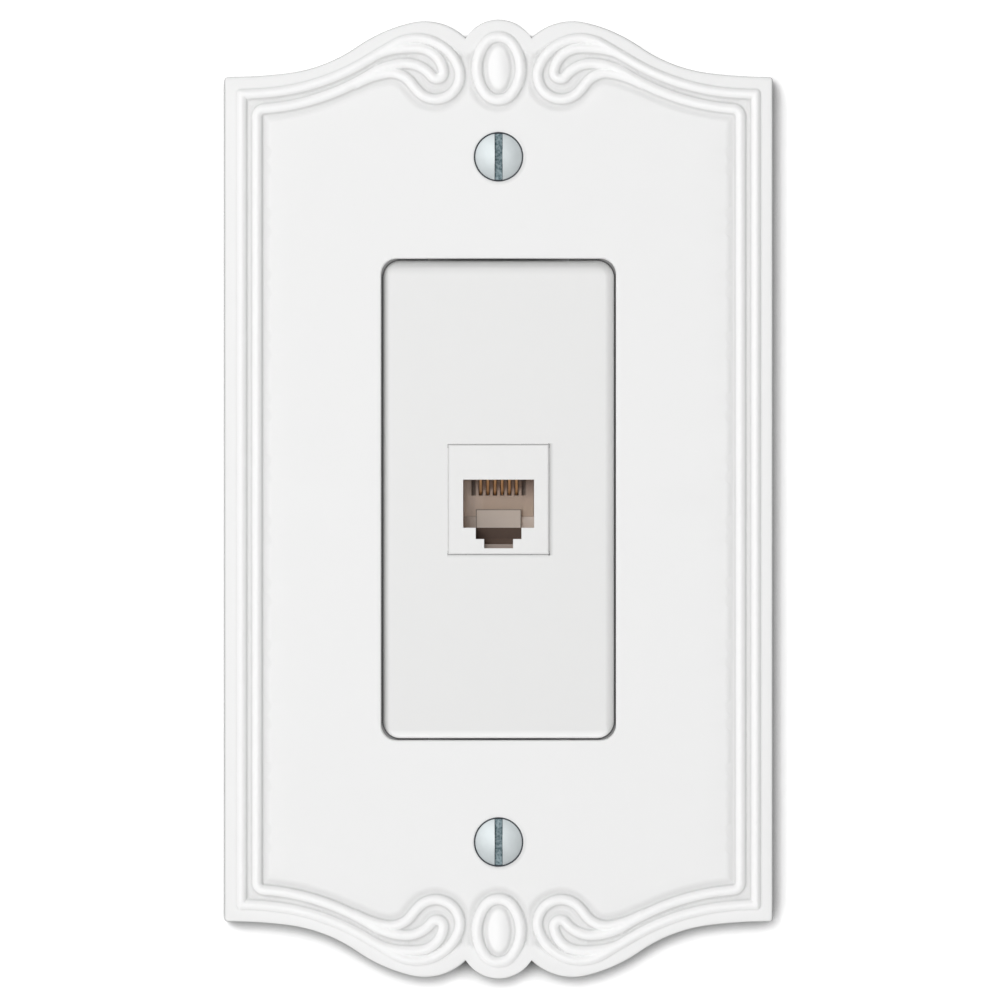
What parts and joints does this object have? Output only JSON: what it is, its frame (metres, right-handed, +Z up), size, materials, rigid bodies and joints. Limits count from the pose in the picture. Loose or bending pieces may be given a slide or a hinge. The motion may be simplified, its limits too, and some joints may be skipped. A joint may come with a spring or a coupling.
{
  "type": "telephone wall socket",
  "caption": "Tall white wall plate with raised scroll border and oval ends, slotted screws, and a flat insert holding a small modular telephone jack.",
  "frame": {"origin": "middle of the plate on the wall plane, which is the plane of the plate's back rim", "axes": "+X to the viewer's right when facing the plate, +Y into the wall, +Z up; the front faces -Y"},
  "size_m": [0.0776, 0.0268, 0.1356],
  "materials": {
    "plate_enamel": "smooth satin white enamel",
    "screw_steel": "bright plated steel with a rough slot",
    "insert_plastic": "smooth moulded white plastic",
    "box_screw_steel": "zinc plated steel",
    "washer_fibre": "pressed red fibre",
    "jack_plastic": "moulded white plastic",
    "comb_plastic": "moulded off-white plastic",
    "contact_gold": "gold plated spring wire",
    "board_laminate": "green laminate",
    "block_plastic": "moulded white plastic",
    "terminal_metal": "tin plated strip",
    "cap_plastic": "moulded white plastic"
  },
  "bodies": {
    "root": {"wall_plate": "plate_enamel", "plate_screws": "screw_steel", "insert_frame": "insert_plastic", "mounting_screws": "box_screw_steel", "screw_retainers": "washer_fibre", "jack_housing": "jack_plastic", "contact_comb": "comb_plastic", "contact_wire_1": "contact_gold", "contact_wire_2": "contact_gold", "contact_wire_3": "contact_gold", "contact_wire_4": "contact_gold", "contact_wire_5": "contact_gold", "contact_wire_6": "contact_gold", "circuit_board": "board_laminate", "terminal_block": "block_plastic", "idc_terminal_1": "terminal_metal", "idc_terminal_2": "terminal_metal", "idc_terminal_3": "terminal_metal", "idc_terminal_4": "terminal_metal", "idc_terminal_5": "terminal_metal", "idc_terminal_6": "terminal_metal", "terminal_cap_left": "cap_plastic", "terminal_cap_right": "cap_plastic"}
  },
  "joints": []
}
